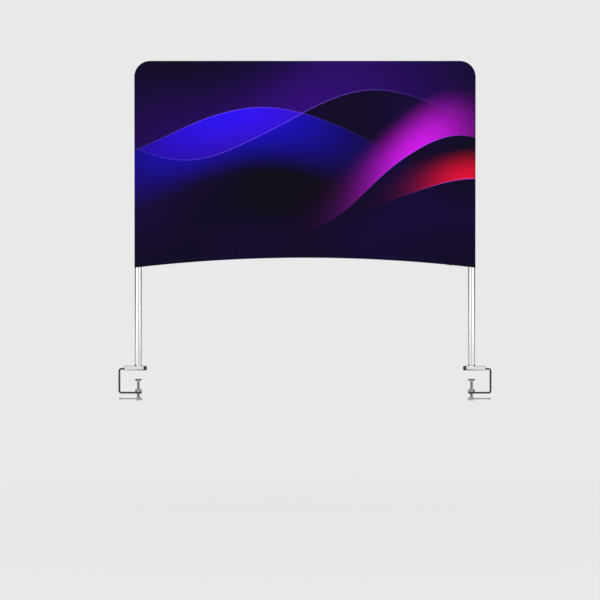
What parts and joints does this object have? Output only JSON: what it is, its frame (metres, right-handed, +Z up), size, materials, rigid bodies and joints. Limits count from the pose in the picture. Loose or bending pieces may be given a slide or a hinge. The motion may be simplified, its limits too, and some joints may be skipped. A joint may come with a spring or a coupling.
{
  "type": "tabletop banner display",
  "caption": "Wide fabric banner stretched over a bent tube frame, standing on two poles that plug onto screw clamps for the ends of a table.",
  "frame": {"origin": "on the surface that both clamps grip from above, midway between the poles and in the plane of their axes", "axes": "+X along the banner from its left pole to its right one, +Y away from the viewer through the banner, +Z up"},
  "size_m": [1.846, 0.048, 1.6803],
  "materials": {
    "tube_aluminium": "polished, clear anodised",
    "polished_metal": "polished casting",
    "black_powder_coat": "satin black powder coat",
    "black_plastic": "moulded, lightly grained",
    "black_rubber": "matte, ribbed",
    "zinc_steel": "bright zinc plate",
    "steel_pins": "nickel plate",
    "print_fabric": "dye-printed stretch knit",
    "zip_nylon": "nylon coil",
    "zip_tape": "woven tape",
    "zip_metal": "black enamel on zinc"
  },
  "bodies": {
    "clamps": {"left_clamp_frame": "black_powder_coat", "left_foot_shoe": "polished_metal", "left_foot_cap": "black_plastic", "left_spigot": "tube_aluminium", "left_collar": "polished_metal", "left_jaw_pad": "black_rubber", "left_clamp_nut": "zinc_steel", "right_clamp_frame": "black_powder_coat", "right_foot_shoe": "polished_metal", "right_foot_cap": "black_plastic", "right_spigot": "tube_aluminium", "right_collar": "polished_metal", "right_jaw_pad": "black_rubber", "right_clamp_nut": "zinc_steel", "spigot_bolts": "steel_pins", "shoe_screws": "steel_pins"},
    "banner": {"left_lower_pole": "tube_aluminium", "left_upper_pole": "tube_aluminium", "left_corner_tube": "tube_aluminium", "left_top_tube": "tube_aluminium", "right_lower_pole": "tube_aluminium", "right_upper_pole": "tube_aluminium", "right_corner_tube": "tube_aluminium", "right_top_tube": "tube_aluminium", "left_pole_coupler": "tube_aluminium", "right_pole_coupler": "tube_aluminium", "left_shoulder_coupler": "tube_aluminium", "right_shoulder_coupler": "tube_aluminium", "left_top_coupler": "tube_aluminium", "right_top_coupler": "tube_aluminium", "center_top_coupler": "tube_aluminium", "coupler_rivets": "tube_aluminium", "button_springs": "steel_pins", "front_panel": "print_fabric", "back_panel": "print_fabric", "zip_coil": "zip_nylon", "zip_tape_front": "zip_tape", "zip_tape_back": "zip_tape", "zip_stops": "zip_metal"},
    "left_pad": {"left_swivel_pad": "zinc_steel", "left_swivel_face": "black_rubber"},
    "left_screw": {"left_clamp_screw": "zinc_steel"},
    "left_bar": {"left_tommy_bar": "zinc_steel", "left_tommy_knobs": "zinc_steel"},
    "right_pad": {"right_swivel_pad": "zinc_steel", "right_swivel_face": "black_rubber"},
    "right_screw": {"right_clamp_screw": "zinc_steel"},
    "right_bar": {"right_tommy_bar": "zinc_steel", "right_tommy_knobs": "zinc_steel"},
    "left_pole_pin": {"left_pole_button": "steel_pins"},
    "right_pole_pin": {"right_pole_button": "steel_pins"},
    "left_shoulder_pin": {"left_shoulder_button": "steel_pins"},
    "right_shoulder_pin": {"right_shoulder_button": "steel_pins"},
    "left_top_pin": {"left_top_button": "steel_pins"},
    "right_top_pin": {"right_top_button": "steel_pins"},
    "center_top_pin": {"center_top_button": "steel_pins"},
    "slider": {"zip_slider": "zip_metal"},
    "pull": {"zip_pull": "zip_metal"}
  },
  "joints": [
    {"name": "banner_lift", "type": "slide", "parent": "clamps", "child": "banner", "axis": [0, 0, 1], "range_m": [0, 0.1]},
    {"name": "left_pad_travel", "type": "slide", "parent": "clamps", "child": "left_pad", "axis": [0, 0, 1], "range_m": [-0.038, 0.016]},
    {"name": "left_screw_turn", "type": "hinge", "parent": "left_pad", "child": "left_screw", "pos_m": [-0.825, 0, -0.1], "axis": [0, 0, 1], "range_deg": [-6840, 2880]},
    {"name": "left_bar_slide", "type": "slide", "parent": "left_screw", "child": "left_bar", "axis": [1, 0, 0], "range_m": [0, 0.0755]},
    {"name": "right_pad_travel", "type": "slide", "parent": "clamps", "child": "right_pad", "axis": [0, 0, 1], "range_m": [-0.038, 0.016]},
    {"name": "right_screw_turn", "type": "hinge", "parent": "right_pad", "child": "right_screw", "pos_m": [0.825, 0, -0.1], "axis": [0, 0, 1], "range_deg": [-6840, 2880]},
    {"name": "right_bar_slide", "type": "slide", "parent": "right_screw", "child": "right_bar", "axis": [-1, 0, 0], "range_m": [0, 0.0755]},
    {"name": "left_pole_press", "type": "slide", "parent": "banner", "child": "left_pole_pin", "axis": [-1, 0, 0], "range_m": [0, 0.0046], "stiffness_N_per_m": 1500, "springref_m": -0.003, "deforming": ["button_springs"]},
    {"name": "right_pole_press", "type": "slide", "parent": "banner", "child": "right_pole_pin", "axis": [1, 0, 0], "range_m": [0, 0.0046], "stiffness_N_per_m": 1500, "springref_m": -0.003, "deforming": ["button_springs"]},
    {"name": "left_shoulder_press", "type": "slide", "parent": "banner", "child": "left_shoulder_pin", "axis": [-1, 0, 0], "range_m": [0, 0.0046], "stiffness_N_per_m": 1500, "springref_m": -0.003, "deforming": ["button_springs"]},
    {"name": "right_shoulder_press", "type": "slide", "parent": "banner", "child": "right_shoulder_pin", "axis": [1, 0, 0], "range_m": [0, 0.0046], "stiffness_N_per_m": 1500, "springref_m": -0.003, "deforming": ["button_springs"]},
    {"name": "left_top_press", "type": "slide", "parent": "banner", "child": "left_top_pin", "axis": [0, 0, 1], "range_m": [0, 0.0046], "stiffness_N_per_m": 1500, "springref_m": -0.003, "deforming": ["button_springs"]},
    {"name": "right_top_press", "type": "slide", "parent": "banner", "child": "right_top_pin", "axis": [0, 0, 1], "range_m": [0, 0.0046], "stiffness_N_per_m": 1500, "springref_m": -0.003, "deforming": ["button_springs"]},
    {"name": "center_top_press", "type": "slide", "parent": "banner", "child": "center_top_pin", "axis": [0, 0, 1], "range_m": [0, 0.0046], "stiffness_N_per_m": 1500, "springref_m": -0.003, "deforming": ["button_springs"]},
    {"name": "zip_slide", "type": "hinge", "parent": "banner", "child": "slider", "pos_m": [0, 0, -6.70719], "axis": [0, 1, 0], "range_deg": [-11.39, 0]},
    {"name": "zip_pull_swing", "type": "hinge", "parent": "slider", "child": "pull", "pos_m": [0.72041, 0, 0.51933], "axis": [0, 1, 0], "range_deg": [-175, 0]}
  ],
  "couplings": [
    {"joint": "left_pad_travel", "follows": "left_screw_turn", "m_per_rad": 0.00031831},
    {"joint": "right_pad_travel", "follows": "right_screw_turn", "m_per_rad": 0.00031831}
  ]
}
